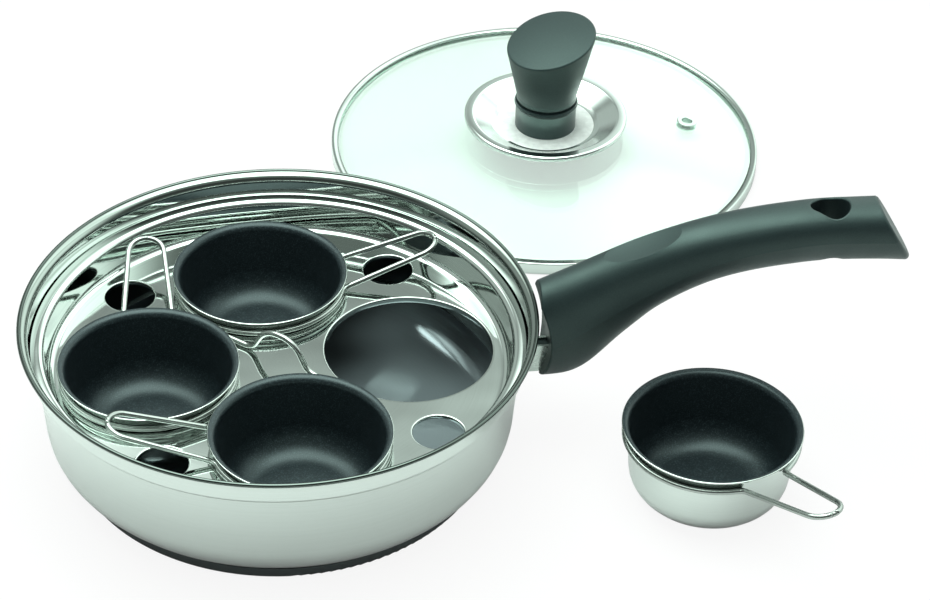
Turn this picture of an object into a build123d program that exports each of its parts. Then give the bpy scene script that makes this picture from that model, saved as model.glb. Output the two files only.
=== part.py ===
from build123d import *
import math
import os

# Egg poacher pan, in millimetres. Z is up and z = 0 is the surface that everything stands on.
# The Z axis is the axis of the pan and the handle runs along +X. Three cups sit in the tray,
# the fourth cup and the glass lid stand beside the pan.

# Sizes shared by several pieces.
rest_gap = 0.3          # between pieces that only rest on each other
seat_gap = 0.05         # between pieces that are fastened or pressed together
run_gap = 0.06          # radial play of a wire ring that turns on its cup
overrun = 2.0           # how far a cut reaches past the piece that it cuts
half_turn = 180

# Pan body and its sandwich base.
pan_height = 65.4
rim_radius = 108.0
rim_bead_radius = 0.9
lip_rise = 2.8
lip_bend = 3.0
lip_flare = 3.6
ledge_width = 3.3
wall_draft = 3.5
corner_radius = 17.0
ledge_bend = 1.2
pan_wall = 0.8
base_inset = 8.9
base_thickness = 4.6
base_sheet = 0.6
base_edge = 1.0

# Tray with four seats, four steam holes and a wire lifter.
tray_play = 0.7
tray_sheet = 0.8
tray_drop = 10.9        # from the pan's rim down to the tray's rim
tray_depth = 13.8
tray_rim_width = 4.6
tray_draft = 1.3
tray_foot_bend = 3.0
tray_rim_bend = 1.8
seat_count = 4
seat_turn = 4.4         # degrees from the handle to the empty seat
seat_wall_gap = 6.4     # from a seat to the tray's wall
seat_web = 6.58         # between neighbouring seats
seat_flange = 2.6
steam_radius = 10.7
steam_wall_gap = 6.3
steam_flange = 1.6
hole_round = 0.55
lifter_wire = 2.5
lifter_reach = 30.0
lifter_foot = 14.5
lifter_crown = 7.2
lifter_height = 15.2
lifter_crown_bend = 6.2
lifter_foot_bend = 3.0

# Egg cups with their wire handles.
cup_floor_gap = 7.1     # from a seated cup down to the pan's floor
seat_play = 0.3         # radial, between a seat and its cup
cup_draft = 2.6
cup_lip_reach = 2.5
cup_corner = 14.0
cup_lip_rise = 1.8
cup_lip_bend = 2.0
cup_wall = 0.6
cup_lining = 0.3
wire_size = 2.4
wire_drop = 5.3         # from the cup's rim down to the middle of the wire ring
loop_reach_share = 1.4  # of the seat's offset, from the cup's axis to the loop's tip
loop_rise = 13.9        # of the tip above the ring
loop_root_angle = 17.0
loop_root_run = 3.2
loop_root_bend = 3.6
loop_tip_width = 14.0
loop_tip_bend = 6.2
cup_loop_turns = (4.6, 88.2, 177.4)
loose_cup_ahead = 67.2  # from the pan's rim
loose_cup_aside = 14.2  # from its own rim to the handle's axis
loose_loop_turn = -63.8

# Handle.
bracket_height = 13.2
bracket_drop = 35.0     # from the pan's rim down to the bracket
bracket_width = 7.2
bracket_sheet = 1.2
bracket_reach = 13.0    # past the pan's rim
bracket_pad_angle = 6.5
grip_overlap = 12.0     # of the grip's first section inside the rim
grip_length = 178.0
grip_foot_drop = 0.4    # below the bracket
grip_rise = 75.6
grip_half_width = 14.0
grip_sections = 20
grip_rim_gap = 0.9
grip_hollow = 4.6
grip_hollow_rise = 20.0
grip_tip_reach = 155.0
grip_tip_lean = 17.0
grip_edge = 1.8
root_edge = 0.8
tongue_gap = 1.5
tongue_drop = 1.0
thumb_reach = 55.0
thumb_rise = 62.0
thumb_slope = 20.5      # degrees that the grip's top rises there
thumb_radius = 90.0
thumb_depth = 2.3
hang_reach = 135.0
hang_radius = 7.1
hang_point_reach = 129.0
hang_point_radius = 3.4
hang_edge = 0.8
screw_inset = 5.0
screw_radius = 1.6
screw_head_radius = 3.1
screw_head = 2.0
screw_reach = 21.0
screw_key = 1.2

# Lid.
lid_apart = 41.17       # from the pan's rim to the lid's edge
lid_turn = 54.98        # degrees from the handle
lid_inset = 3.8         # of the lid's edge inside the pan's rim, when it is on
band_height = 6.2
band_sheet = 0.8
band_foot = 1.3
band_cover = 3.2
band_round = 0.7
glass = 4.0
glass_top = 14.0
glass_edge_width = 5.7
vent_inset = 32.6
vent_turn = 2.8
vent_radius = 2.5
vent_barrel = 3.1
vent_flange_radius = 4.9
vent_flange = 0.8
vent_round = 0.35
gasket_radius = 12.0
gasket = 0.6
plate_floor_radius = 25.0
plate_step_radius = 35.4
plate_radius = 39.6
plate_rise = 6.2
plate_turn_down = 1.6
plate_sheet = 0.6
plate_bowl_bend = 8.0
plate_step_bend = 1.4
plate_edge_bend = 0.8
collar_radius = 14.7
collar_height = 14.4
collar_bead = 0.8
collar_bead_height = 1.3
collar_groove = 0.7
knob_neck_radius = 14.6
knob_neck_rise = 3.4
knob_flare_rise = 36.0
knob_flare = 8.3
knob_top = 62.0
knob_lean = 15.8
knob_lean_turn = 23.0
knob_crown = 150.0
knob_edge = 0.9
insert_radius = 4.0
insert_length = 12.0
insert_drop = 1.2
lid_screw_radius = 2.4
lid_screw_head_radius = 4.6
lid_screw_head = 2.6
lid_screw_bite = 9.0
lid_screw_play = 0.5
lid_screw_key = 1.9
washer_radius = 15.4
washer = 2.0

os.makedirs("parts", exist_ok=True)


def save(builder, name):
    """Label a finished piece and write it."""
    builder.part.label = name
    export_step(builder.part, f"parts/{name}.step")


def place(distance, angle, height=0.0, turn=0.0):
    """A level plane at a distance and angle from the pan's axis, its X turned by turn degrees."""
    spot = Vector(distance, 0, height).rotate(Axis.Z, angle)
    return Plane(origin=spot, x_dir=Vector(1, 0, 0).rotate(Axis.Z, turn), z_dir=(0, 0, 1))


def upright(level):
    """The upright plane on a level plane's axis: X is the radius and Y the height."""
    return Plane(origin=level.origin, x_dir=level.x_dir, z_dir=-level.y_dir)


def axis_of(level):
    return Axis(level.origin, level.z_dir)


def shifted(points, distance):
    """Move a chain of points to its left by a distance, with mitred corners."""
    line = [Vector(*point) for point in points]
    moved = []
    for index, point in enumerate(line):
        sides = []
        for start, end in zip(line[max(index - 1, 0):], line[max(index, 1):index + 2]):
            run = (end - start).normalized()
            sides.append(Vector(-run.Y, run.X))
        mitre = sides[0] + sides[-1]
        moved.append(point + mitre * (2 * distance / mitre.dot(mitre)))
    return moved


def sheet_line(points, bends, distance):
    """The line at a distance to the left of a chain of points, with each corner bent."""
    line = [Vector(*point) for point in points]
    radii = []
    for before, corner, after, bend in zip(line, line[1:], line[2:], bends):
        left = (corner - before).cross(after - corner).Z > 0
        radii.append(bend - distance if left else bend + distance)
    return FilletPolyline(*shifted(points, distance), radius=radii)


def sheet_section(points, bends, near, far):
    """Draw the section of a pressed sheet that lies between two distances from one chain."""
    with BuildLine() as outline:
        sides = [sheet_line(points, bends, distance) for distance in (near, far)]
        for end in (0, 1):
            Line(sides[0] @ end, sides[1] @ end)
    make_face(outline.edges())


# Radii, heights and places that follow from the pan's rim.
tray_top = pan_height - tray_drop
tray_floor = tray_top - tray_depth
bracket_bottom = pan_height - bracket_drop
grip_foot = bracket_bottom - grip_foot_drop
grip_hollow_height = grip_foot + grip_hollow_rise
thumb_top = grip_foot + thumb_rise
band_radius = rim_radius - lip_flare
neck_radius = band_radius - ledge_width
foot_radius = neck_radius - wall_draft
base_radius = foot_radius - base_inset
tray_radius = band_radius - pan_wall - tray_play
tray_wall_top_radius = tray_radius - tray_rim_width
tray_wall_foot_radius = tray_wall_top_radius - tray_draft
seat_outer_reach = tray_wall_foot_radius - seat_wall_gap
half_step = math.radians(half_turn / seat_count)
seat_offset = (seat_web / 2 + seat_outer_reach) / (1 + math.sin(half_step))
seat_radius = seat_outer_reach - seat_offset
steam_offset = tray_wall_foot_radius - steam_wall_gap - steam_radius
cup_neck_radius = seat_radius - seat_play
cup_foot_radius = cup_neck_radius - cup_draft
cup_rim_radius = cup_neck_radius + cup_lip_reach
loop_reach = seat_offset * loop_reach_share
loose_cup_x = rim_radius + loose_cup_ahead
loose_cup_y = -cup_rim_radius - loose_cup_aside
bracket_end = rim_radius + bracket_reach
screw_x = bracket_end - screw_inset
tongue_start = neck_radius + tongue_gap
grip_start = rim_radius - grip_overlap
thumb_x = grip_start + thumb_reach
hang_x = grip_start + hang_reach
hang_point_x = grip_start + hang_point_reach
grip_tip_x = grip_start + grip_tip_reach
lid_radius = rim_radius - lid_inset
lid_distance = rim_radius + lid_apart + lid_radius
lid_x = lid_distance * math.cos(math.radians(lid_turn))
lid_y = lid_distance * math.sin(math.radians(lid_turn))
glass_flat_radius = lid_radius - glass_edge_width
vent_offset = lid_radius - vent_inset

# Places that several pieces share.
ledge_top = tray_top - tray_sheet - rest_gap
ring_height = tray_floor + rest_gap + wire_size / 2
seated_cup_height = base_thickness + pan_wall + cup_floor_gap
cup_height = ring_height + wire_drop - seated_cup_height
seat_angles = [seat_turn + 360 / seat_count * number for number in range(seat_count)]
steam_angles = [angle + 180 / seat_count for angle in seat_angles]
loose_distance = math.hypot(loose_cup_x, loose_cup_y)
loose_angle = math.degrees(math.atan2(loose_cup_y, loose_cup_x))
cup_places = [place(seat_offset, angle, seated_cup_height, turn)
              for angle, turn in zip(seat_angles[1:], cup_loop_turns)]
cup_places.append(place(loose_distance, loose_angle, 0, loose_loop_turn))
lid_place = Plane(origin=(lid_x, lid_y, 0))

# Pan body: one pressed steel bowl with a ledge for the tray and a flared lip.
pan_points = [(0, base_thickness), (foot_radius, base_thickness),
              (neck_radius, ledge_top - pan_wall), (band_radius, ledge_top - pan_wall),
              (band_radius, pan_height - rim_bead_radius - lip_rise),
              (rim_radius - rim_bead_radius, pan_height - rim_bead_radius)]
pan_bends = (corner_radius, ledge_bend, ledge_bend + pan_wall, lip_bend)
with BuildPart() as pan_body:
    with BuildSketch(Plane.XZ):
        sheet_section(pan_points, pan_bends, 0, pan_wall)
        with Locations((rim_radius - rim_bead_radius, pan_height - rim_bead_radius)):
            Circle(rim_bead_radius)
    revolve(axis=Axis.Z)
save(pan_body, "pan_body")

# Base: an aluminium core in a thin steel cap, bonded under the bowl.
with BuildPart() as base_core:
    with BuildSketch(Plane.XY.offset(base_sheet)):
        Circle(base_radius - base_sheet)
    extrude(amount=base_thickness - base_sheet)
save(base_core, "base_core")

with BuildPart() as base_cap:
    with BuildSketch(Plane.XZ):
        sheet_section([(0, 0), (base_radius, 0), (base_radius, base_thickness)],
                      (base_edge,), 0, base_sheet)
    revolve(axis=Axis.Z)
    with BuildSketch(Plane.XY.offset(base_sheet)):
        Circle(base_radius - base_sheet)
    extrude(amount=base_thickness, mode=Mode.SUBTRACT)
save(base_cap, "base_cap")

# Tray: a pressed sheet that hangs by its rim, with turned-down edges round every hole.
tray_points = [(0, tray_floor - tray_sheet), (tray_wall_foot_radius, tray_floor - tray_sheet),
               (tray_wall_top_radius, tray_top - tray_sheet), (tray_radius, tray_top - tray_sheet)]
tray_bends = (tray_foot_bend + tray_sheet, tray_rim_bend)
tray_holes = ((seat_offset, seat_angles, seat_radius, seat_flange),
              (steam_offset, steam_angles, steam_radius, steam_flange))
with BuildPart() as tray_plate:
    with BuildSketch(Plane.XZ):
        sheet_section(tray_points, tray_bends, 0, tray_sheet)
    revolve(axis=Axis.Z)
    for offset_radius, angles, radius, flange in tray_holes:
        with BuildSketch(Plane.XY.offset(tray_floor)):
            with PolarLocations(offset_radius, seat_count, angles[0]):
                Circle(radius + tray_sheet)
        extrude(amount=-flange)
        with BuildSketch(Plane.XY.offset(tray_floor)):
            with PolarLocations(offset_radius, seat_count, angles[0]):
                Circle(radius)
        extrude(amount=-flange, mode=Mode.SUBTRACT)
    hole_edges = [edge for edge in tray_plate.edges().filter_by(GeomType.CIRCLE)
                  if edge.radius < seat_radius + rest_gap
                  and abs(edge.center().Z - tray_floor) < seat_gap]
    fillet(hole_edges, hole_round)
save(tray_plate, "tray_plate")

# Lifter: a bent wire whose feet are spot welded on the webs between the seats.
foot_height = tray_floor + lifter_wire / 2 + seat_gap
crown_height = tray_floor + lifter_height - lifter_wire / 2
with BuildPart() as tray_lifter:
    with BuildLine(upright(place(0, 0, 0, steam_angles[-1]))) as lifter_line:
        FilletPolyline((-lifter_reach, foot_height), (-lifter_foot, foot_height),
                       (-lifter_crown, crown_height), (lifter_crown, crown_height),
                       (lifter_foot, foot_height), (lifter_reach, foot_height),
                       radius=[lifter_foot_bend, lifter_crown_bend,
                               lifter_crown_bend, lifter_foot_bend])
    with BuildSketch(Plane(origin=lifter_line.line @ 0, z_dir=lifter_line.line % 0)):
        Circle(lifter_wire / 2)
    sweep()
save(tray_lifter, "tray_lifter")

# Cups: a steel shell, the dark coating inside it and a wire handle clipped under its lip.
cup_points = [(0, 0), (cup_foot_radius, 0), (cup_neck_radius, cup_height - cup_lip_rise),
              (cup_rim_radius, cup_height)]
cup_bends = (cup_corner, cup_lip_bend)
neck_share = (cup_height - wire_drop) / (cup_height - cup_lip_rise)
wall_at_ring = cup_foot_radius + (cup_neck_radius - cup_foot_radius) * neck_share
ring_radius = wall_at_ring + run_gap + wire_size / 2
ring_plane_height = cup_height - wire_drop
root_angle = math.radians(loop_root_angle)
leave_angle = root_angle + math.atan(loop_root_run / ring_radius)
leave_point = Vector(ring_radius * math.cos(leave_angle), ring_radius * math.sin(leave_angle),
                     ring_plane_height)
root_point = leave_point + Vector(math.sin(leave_angle), -math.cos(leave_angle), 0) * loop_root_run
tip_height = ring_plane_height + loop_rise


def to_world(level, point):
    return level.from_local_coords(Vector(*point))


for number, level in enumerate(cup_places, 1):
    with BuildPart() as cup_shell:
        with BuildSketch(upright(level)):
            sheet_section(cup_points, cup_bends, 0, cup_wall)
        revolve(axis=axis_of(level))
    save(cup_shell, f"cup_{number}_shell")

    with BuildPart() as cup_coat:
        with BuildSketch(upright(level)):
            sheet_section(cup_points, cup_bends, cup_wall, cup_wall + cup_lining)
        revolve(axis=axis_of(level))
    save(cup_coat, f"cup_{number}_lining")

    with BuildPart() as cup_wire:
        with BuildLine() as half_wire:
            ThreePointArc(to_world(level, (-ring_radius, 0, ring_plane_height)),
                          to_world(level, (0, ring_radius, ring_plane_height)),
                          to_world(level, leave_point))
            FilletPolyline(to_world(level, leave_point), to_world(level, root_point),
                           to_world(level, (loop_reach, loop_tip_width / 2, tip_height)),
                           to_world(level, (loop_reach, 0, tip_height)),
                           radius=[loop_root_bend, loop_tip_bend])
        with BuildSketch(Plane(origin=half_wire.line @ 0, z_dir=half_wire.line % 0)):
            Circle(wire_size / 2)
        sweep()
        mirror(about=upright(level))
    save(cup_wire, f"cup_{number}_wire")

# Handle bracket: a steel channel, open at the top, with two pads welded to the pan's wall.
wall_slope = (neck_radius - foot_radius) / (ledge_top - pan_wall - base_thickness)


def wall_radius(height):
    """Outside radius of the pan's wall between its lower corner and its ledge."""
    return foot_radius + (height - base_thickness) * wall_slope


bracket_top = bracket_bottom + bracket_height
screw_low = bracket_bottom - screw_head
with BuildPart() as handle_bracket:
    with BuildSketch(Plane.YZ.offset(wall_radius(bracket_top) + seat_gap)):
        with Locations((0, bracket_bottom)):
            Rectangle(bracket_width, bracket_height, align=(Align.CENTER, Align.MIN))
        with Locations((0, bracket_bottom + bracket_sheet)):
            Rectangle(bracket_width - 2 * bracket_sheet, bracket_height,
                      align=(Align.CENTER, Align.MIN), mode=Mode.SUBTRACT)
    extrude(amount=bracket_end - wall_radius(bracket_top) - seat_gap)
    for side in (-1, 1):
        pad_start = math.degrees(math.asin((bracket_width / 2 - bracket_sheet) / neck_radius))
        turn = pad_start if side > 0 else -pad_start - bracket_pad_angle
        with BuildSketch(upright(place(0, 0, 0, turn))):
            with BuildLine():
                Polyline((wall_radius(bracket_bottom) + seat_gap, bracket_bottom),
                         (wall_radius(bracket_bottom) + seat_gap + bracket_sheet, bracket_bottom),
                         (wall_radius(bracket_top) + seat_gap + bracket_sheet, bracket_top),
                         (wall_radius(bracket_top) + seat_gap, bracket_top), close=True)
            make_face()
        revolve(axis=Axis.Z, revolution_arc=bracket_pad_angle)
    with Locations((screw_x, 0, bracket_bottom)):
        Cylinder(screw_radius + rest_gap, bracket_sheet + overrun, mode=Mode.SUBTRACT)
save(handle_bracket, "handle_bracket")

# Handle grip: a moulded grip lofted through upright sections, arched above a crease and
# tucked in below it. Each pair holds a share of the grip's length for the place, then a share
# of its rise for the height there, or of its greatest half width.
top_shares = ((0.0, 0.504), (0.15, 0.656), (0.32, 0.831), (0.50, 0.950), (0.70, 1.010),
              (0.85, 1.011), (1.0, 1.004))
crease_shares = ((0.0, 0.095), (0.15, 0.325), (0.32, 0.582), (0.50, 0.775), (0.70, 0.854),
                 (0.85, 0.848), (1.0, 0.820))
bottom_shares = ((0.0, -0.016), (0.14, -0.020), (0.19, 0.034), (0.27, 0.235), (0.36, 0.432),
                 (0.50, 0.590), (0.70, 0.664), (0.85, 0.660), (1.0, 0.626))
half_shares = ((0.0, 1.0), (0.15, 0.97), (0.35, 0.90), (0.60, 0.87), (0.80, 0.875), (1.0, 0.90))
arch_side_share = 0.62
arch_top_share = 0.66
tuck_side_share = 0.90
tuck_drop_share = 0.50
tuck_bottom_share = 0.62


def along(pairs, place_share):
    """Read a smooth curve through pairs of place and value."""
    last = len(pairs) - 1
    index = max(number for number in range(last) if number == 0 or pairs[number][0] < place_share)
    slopes = []
    for number in (index, index + 1):
        before, after = pairs[max(number - 1, 0)], pairs[min(number + 1, last)]
        slopes.append((after[1] - before[1]) / (after[0] - before[0]))
    (start, low), (end, high) = pairs[index:index + 2]
    span = end - start
    ahead = (place_share - start) / span
    behind = 1 - ahead
    return (low * behind + high * ahead
            + ahead * behind * (behind * (slopes[0] * span - high + low)
                                - ahead * (slopes[1] * span - high + low)))


def grip_height(share):
    return grip_foot + grip_rise * share


def grip_section(half, top, crease, bottom):
    """Draw one section: an arch above the crease and a tucked-in lower half."""
    with BuildLine() as outline:
        for side in (-1, 1):
            Bezier((side * half, crease),
                   (side * half, crease + (top - crease) * arch_side_share),
                   (side * half * arch_top_share, top), (0, top))
            Bezier((side * half, crease),
                   (side * half * tuck_side_share, crease + (bottom - crease) * tuck_drop_share),
                   (side * half * tuck_bottom_share, bottom), (0, bottom))
    make_face(outline.edges())


grip_top = grip_height(1)
root_radius = rim_radius + grip_rim_gap
tongue_half = bracket_width / 2 - bracket_sheet - seat_gap
tongue_bottom = bracket_bottom + bracket_sheet + seat_gap
tongue_top = bracket_top - tongue_drop
tip_drop = grip_rise * (top_shares[-1][1] - bottom_shares[-1][1])
thumb_normal = Vector(0, 0, 1).rotate(Axis.Y, -thumb_slope)
thumb_centre = Vector(thumb_x, 0, thumb_top) + thumb_normal * (thumb_radius - thumb_depth)
with BuildPart() as handle_grip:
    for section in range(grip_sections + 1):
        share = section / grip_sections
        with BuildSketch(Plane.YZ.offset(grip_start + grip_length * share)):
            grip_section(grip_half_width * along(half_shares, share),
                         *(grip_height(along(pairs, share))
                           for pairs in (top_shares, crease_shares, bottom_shares)))
    loft()
    # The end is cut on a slant, longer below than above.
    split(bisect_by=Plane(origin=(grip_tip_x, 0, grip_top), x_dir=(0, 1, 0),
                          z_dir=(tip_drop, 0, grip_tip_lean)), keep=Keep.BOTTOM)
    fillet(handle_grip.faces().sort_by(Axis.X)[-1].edges(), grip_edge)
    # The root is hollowed to follow the pan's wall and rim.
    with BuildSketch(upright(place(0, 0, 0, half_turn))):
        with BuildLine():
            hollow = ThreePointArc((root_radius, grip_foot - overrun),
                                   (root_radius + grip_hollow, grip_hollow_height),
                                   (root_radius, pan_height + overrun))
            Polyline(hollow @ 1, (root_radius, grip_top), (0, grip_top),
                     (0, grip_foot - overrun), hollow @ 0)
        make_face()
    revolve(axis=Axis.Z, mode=Mode.SUBTRACT)
    with Locations(thumb_centre):
        Sphere(thumb_radius, mode=Mode.SUBTRACT)
    with BuildSketch(Plane.XY.offset(grip_top + overrun)):
        with Locations((hang_x, 0)):
            Circle(hang_radius)
        with Locations((hang_point_x, 0)):
            Circle(hang_point_radius)
        make_hull()
    extrude(amount=-grip_rise, mode=Mode.SUBTRACT)
    fillet(handle_grip.edges(Select.LAST).filter_by(GeomType.LINE, reverse=True), hang_edge)
    # A slot takes the channel, and a tongue fills the channel up to the pan's wall.
    with BuildSketch(Plane.YZ.offset(grip_start)):
        with Locations((0, bracket_bottom - 2 * overrun)):
            Rectangle(bracket_width + 2 * seat_gap, bracket_height + 2 * overrun + seat_gap,
                      align=(Align.CENTER, Align.MIN))
    extrude(amount=bracket_end + seat_gap - grip_start, mode=Mode.SUBTRACT)
    with BuildSketch(Plane.YZ.offset(tongue_start)):
        with Locations((0, tongue_bottom)):
            Rectangle(2 * tongue_half, tongue_top - tongue_bottom,
                      align=(Align.CENTER, Align.MIN))
    extrude(amount=bracket_end + overrun - tongue_start)
    with Locations((screw_x, 0, bracket_bottom)):
        Cylinder(screw_radius + seat_gap, screw_reach + seat_gap,
                 align=(Align.CENTER, Align.CENTER, Align.MIN), mode=Mode.SUBTRACT)
    root_edges = [edge for edge in handle_grip.edges()
                  if edge.bounding_box().max.X < root_radius + grip_hollow + seat_gap
                  and (abs(edge.center().Y) > bracket_width
                       or edge.center().Z > pan_height + 2 * overrun)]
    fillet(root_edges, root_edge)
save(handle_grip, "handle_grip")

# Handle screw: driven from below through the channel into the grip.
with BuildPart() as handle_screw:
    with BuildSketch(Plane.XY.offset(screw_low)):
        with Locations((screw_x, 0)):
            Circle(screw_head_radius)
            RegularPolygon(screw_key, 6, mode=Mode.SUBTRACT)
    extrude(amount=screw_head - seat_gap)
    with BuildSketch(Plane.XY.offset(screw_low + screw_head / 2)):
        with Locations((screw_x, 0)):
            Circle(screw_radius)
    extrude(amount=screw_head / 2 + screw_reach)
save(handle_screw, "handle_screw")

# Lid glass: a shallow dome of even thickness with a flat edge.
edge_top = band_foot + glass
edge_radius = lid_radius - band_sheet - seat_gap
dome_rise = glass_top - edge_top
dome_radius = (glass_flat_radius ** 2 + dome_rise ** 2) / (2 * dome_rise)
under_radius = dome_radius - glass
dome_centre = glass_top - dome_radius


def glass_height(radius, sphere=dome_radius):
    """Height of the dome's top, or of a sphere round the same centre, above the surface."""
    return dome_centre + math.sqrt(sphere ** 2 - radius ** 2)


def dome_arc(start, end, sphere):
    """An arc of a section through the dome between two radii from the lid's axis."""
    middle = (start + end) / 2
    return ThreePointArc(*((radius, glass_height(radius, sphere))
                           for radius in (start, middle, end)))


under_edge = math.sqrt(under_radius ** 2 - (band_foot - dome_centre) ** 2)
screw_way = lid_screw_radius + lid_screw_play
vent_tilt = math.degrees(math.asin(vent_offset / dome_radius))
vent_spot = Vector(vent_offset, 0, glass_height(vent_offset)).rotate(Axis.Z, vent_turn)
vent_normal = Vector(0, 0, 1).rotate(Axis.Y, vent_tilt).rotate(Axis.Z, vent_turn)
vent_level = Plane(origin=vent_spot + lid_place.origin, z_dir=vent_normal)
with BuildPart() as lid_glass:
    with BuildSketch(upright(lid_place)):
        with BuildLine():
            dome_arc(0, glass_flat_radius, dome_radius)
            Polyline((glass_flat_radius, edge_top), (edge_radius, edge_top),
                     (edge_radius, band_foot), (under_edge, band_foot))
            dome_arc(under_edge, 0, under_radius)
            Line((0, glass_top - glass), (0, glass_top))
        make_face()
    revolve(axis=axis_of(lid_place))
    with BuildSketch(lid_place):
        Circle(screw_way)
    extrude(amount=glass_top + overrun, mode=Mode.SUBTRACT)
    with BuildSketch(vent_level.offset(overrun)):
        Circle(vent_barrel + seat_gap)
    extrude(amount=-glass - 2 * overrun, mode=Mode.SUBTRACT)
save(lid_glass, "lid_glass")

# Lid band: a steel channel rolled round the edge of the glass.
cover_radius = lid_radius - band_cover
with BuildPart() as lid_band:
    with BuildSketch(upright(lid_place)):
        with BuildLine():
            Polyline((cover_radius, 0), (lid_radius, 0), (lid_radius, band_height),
                     (cover_radius, band_height), (cover_radius, edge_top + seat_gap),
                     (edge_radius + seat_gap, edge_top + seat_gap),
                     (edge_radius + seat_gap, band_foot - seat_gap),
                     (cover_radius, band_foot - seat_gap), close=True)
        make_face()
        fillet(vertices().group_by(Axis.X)[-1], band_round)
    revolve(axis=axis_of(lid_place))
save(lid_band, "lid_band")

# Vent eyelet: a riveted tube with a flange on each face of the glass.
vent_low = -glass - seat_gap
with BuildPart() as vent_eyelet:
    with BuildSketch(upright(vent_level)):
        with BuildLine():
            Polyline((vent_radius, vent_low - vent_flange), (vent_flange_radius, vent_low - vent_flange),
                     (vent_flange_radius, vent_low), (vent_barrel, vent_low),
                     (vent_barrel, seat_gap), (vent_flange_radius, seat_gap),
                     (vent_flange_radius, seat_gap + vent_flange),
                     (vent_radius, seat_gap + vent_flange), close=True)
        make_face()
        fillet(vertices().group_by(Axis.Y)[-1], vent_round)
        fillet(vertices().group_by(Axis.Y)[0], vent_round)
    revolve(axis=axis_of(vent_level))
save(vent_eyelet, "vent_eyelet")

# Gasket between the glass and the knob plate.
plate_low = glass_top + gasket
with BuildPart() as knob_gasket:
    with BuildSketch(upright(lid_place)):
        with BuildLine():
            dome_arc(screw_way, gasket_radius, dome_radius)
            Polyline((gasket_radius, glass_height(gasket_radius)), (gasket_radius, plate_low),
                     (screw_way, plate_low), (screw_way, glass_height(screw_way)))
        make_face()
    revolve(axis=axis_of(lid_place))
save(knob_gasket, "knob_gasket")

# Knob plate: a dished steel guard under the knob with a rolled-over edge.
plate_outer = plate_radius - plate_sheet
with BuildPart() as knob_plate:
    with BuildSketch(upright(lid_place)):
        sheet_section([(screw_way, plate_low), (plate_floor_radius, plate_low),
                       (plate_step_radius, plate_low + plate_rise),
                       (plate_outer, plate_low + plate_rise),
                       (plate_outer, plate_low + plate_rise - plate_turn_down)],
                      (plate_bowl_bend, plate_step_bend, plate_edge_bend), 0, plate_sheet)
    revolve(axis=axis_of(lid_place))
save(knob_plate, "knob_plate")

# Knob: a lower stem with a bead at its top and a flared grip cut on a slant.
collar_low = plate_low + plate_sheet
collar_top = collar_low + collar_height
with BuildPart() as knob_collar:
    with BuildSketch(upright(lid_place)):
        with BuildLine():
            Polyline((screw_way, collar_low), (collar_radius, collar_low),
                     (collar_radius, collar_top - 2 * collar_bead_height),
                     (collar_radius + collar_bead, collar_top - collar_bead_height),
                     (collar_radius + collar_bead / 2, collar_top), (screw_way, collar_top),
                     close=True)
        make_face()
    revolve(axis=axis_of(lid_place))
save(knob_collar, "knob_collar")

neck_top = collar_top + knob_neck_rise
flare_top = neck_top + knob_flare_rise
groove_radius = knob_neck_radius - collar_groove
crown_turn = Plane(origin=lid_place.origin, x_dir=Vector(1, 0, 0).rotate(Axis.Z, knob_lean_turn),
                   z_dir=(0, 0, 1))
crown_normal = lid_place.z_dir.rotate(Axis((0, 0, 0), crown_turn.y_dir), -knob_lean)
crown_sag = (knob_neck_radius + knob_flare) ** 2 / (2 * knob_crown)
crown_centre = (lid_place.origin + lid_place.z_dir * (knob_top + crown_sag)
                - crown_normal * knob_crown)
insert_low = collar_top + insert_drop
with BuildPart() as knob_grip:
    with BuildSketch(upright(lid_place)):
        with BuildLine():
            Polyline((0, collar_top), (groove_radius, collar_top),
                     (groove_radius, collar_top + collar_groove),
                     (knob_neck_radius, collar_top + 2 * collar_groove),
                     (knob_neck_radius, neck_top),
                     (knob_neck_radius + knob_flare, flare_top), (0, flare_top), close=True)
        make_face()
    revolve(axis=axis_of(lid_place))
    with Locations(crown_centre):
        Sphere(knob_crown, mode=Mode.INTERSECT)
    fillet(knob_grip.faces().sort_by(Axis.Z)[-1].edges(), knob_edge)
    with BuildSketch(lid_place.offset(collar_top)):
        Circle(screw_way)
    extrude(amount=insert_drop + seat_gap, mode=Mode.SUBTRACT)
    with BuildSketch(lid_place.offset(insert_low)):
        Circle(insert_radius + seat_gap)
    extrude(amount=insert_length, mode=Mode.SUBTRACT)
save(knob_grip, "knob_grip")

with BuildPart() as knob_insert:
    with BuildSketch(lid_place.offset(insert_low)):
        Circle(insert_radius)
        Circle(lid_screw_radius + seat_gap, mode=Mode.SUBTRACT)
    extrude(amount=insert_length)
save(knob_insert, "knob_insert")

# Lid screw and its washer, under the glass.
washer_top = glass_top - glass - seat_gap
washer_low = washer_top - washer
washer_sphere = under_radius - seat_gap
with BuildPart() as lid_washer:
    with BuildSketch(upright(lid_place)):
        with BuildLine():
            dome_arc(screw_way, washer_radius, washer_sphere)
            Polyline((washer_radius, glass_height(washer_radius, washer_sphere)),
                     (washer_radius, washer_low), (screw_way, washer_low),
                     (screw_way, glass_height(screw_way, washer_sphere)))
        make_face()
    revolve(axis=axis_of(lid_place))
save(lid_washer, "lid_washer")

with BuildPart() as lid_screw:
    with BuildSketch(lid_place.offset(washer_low - lid_screw_head)):
        Circle(lid_screw_head_radius)
        RegularPolygon(lid_screw_key, 6, mode=Mode.SUBTRACT)
    extrude(amount=lid_screw_head)
    with BuildSketch(lid_place.offset(washer_low - lid_screw_head / 2)):
        Circle(lid_screw_radius)
    extrude(amount=insert_low + lid_screw_bite - washer_low + lid_screw_head / 2)
save(lid_screw, "lid_screw")
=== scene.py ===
import logging
import math
from dataclasses import dataclass, field
from enum import Enum
from typing import Mapping, Sequence

import bmesh
import bpy
from bmesh.types import BMEdge, BMesh, BMVert
from mathutils import Matrix, Vector


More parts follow.
